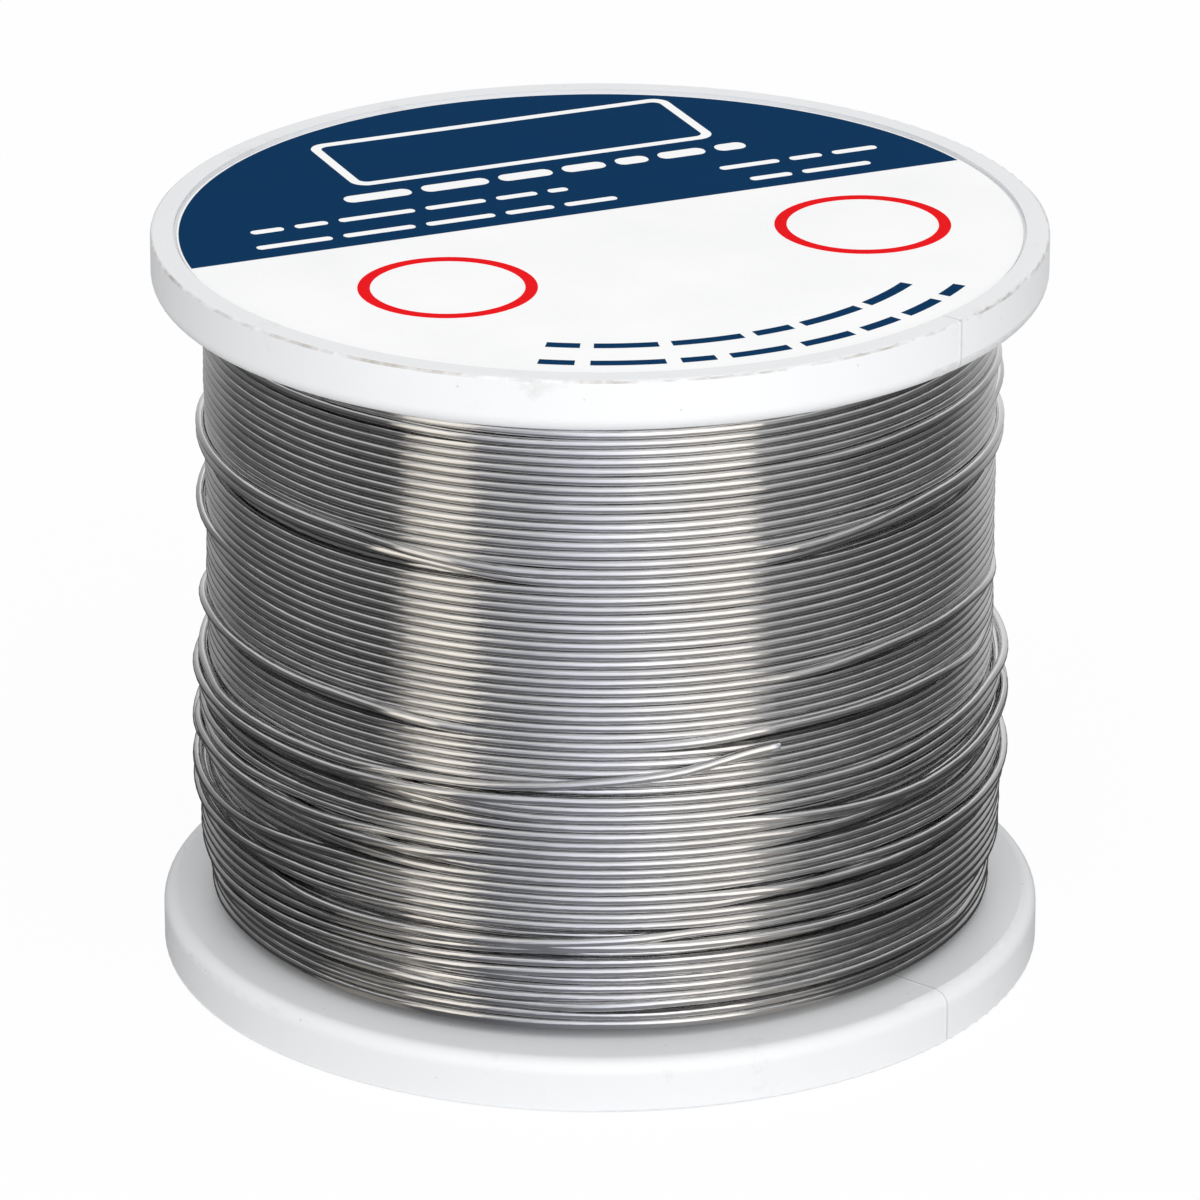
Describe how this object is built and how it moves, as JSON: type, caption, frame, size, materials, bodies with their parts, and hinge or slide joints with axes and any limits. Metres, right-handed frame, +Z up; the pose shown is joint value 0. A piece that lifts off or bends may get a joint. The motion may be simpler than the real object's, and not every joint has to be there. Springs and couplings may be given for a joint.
{
  "type": "solder wire spool",
  "caption": "White moulded reel wound full of flux-cored solder wire, with a round paper label on the upper flange and a spindle bore.",
  "frame": {"origin": "centre of the base, on the plane that the lower flange's ring stands on", "axes": "+Z up the reel's axis towards the labelled flange, -Y towards the side that the label's text baseline roughly faces"},
  "size_m": [0.066, 0.066, 0.0564],
  "materials": {
    "reel_plastic": "satin moulded, white with a faint blue cast",
    "label_paper": "satin coated paper, one segment printed navy blue",
    "solder_wire": "bright drawn tin-lead wire with fine nicks",
    "flux": "amber rosin"
  },
  "bodies": {
    "root": {"reel_body": "reel_plastic", "face_label": "label_paper", "wire_layer_01": "solder_wire", "wire_layer_02": "solder_wire", "wire_layer_03": "solder_wire", "wire_layer_04": "solder_wire", "wire_layer_05": "solder_wire", "wire_layer_06": "solder_wire", "wire_layer_07": "solder_wire", "wire_layer_08": "solder_wire", "wire_layer_09": "solder_wire", "wire_layer_10": "solder_wire", "wire_layer_11": "solder_wire", "wire_layer_12": "solder_wire", "wire_layer_13": "solder_wire", "wire_layer_14": "solder_wire", "wire_top_turns": "solder_wire", "wire_start_tail": "solder_wire", "wire_outer_end": "solder_wire", "flux_core_start_tail": "flux", "flux_core_outer_end": "flux"}
  },
  "joints": []
}
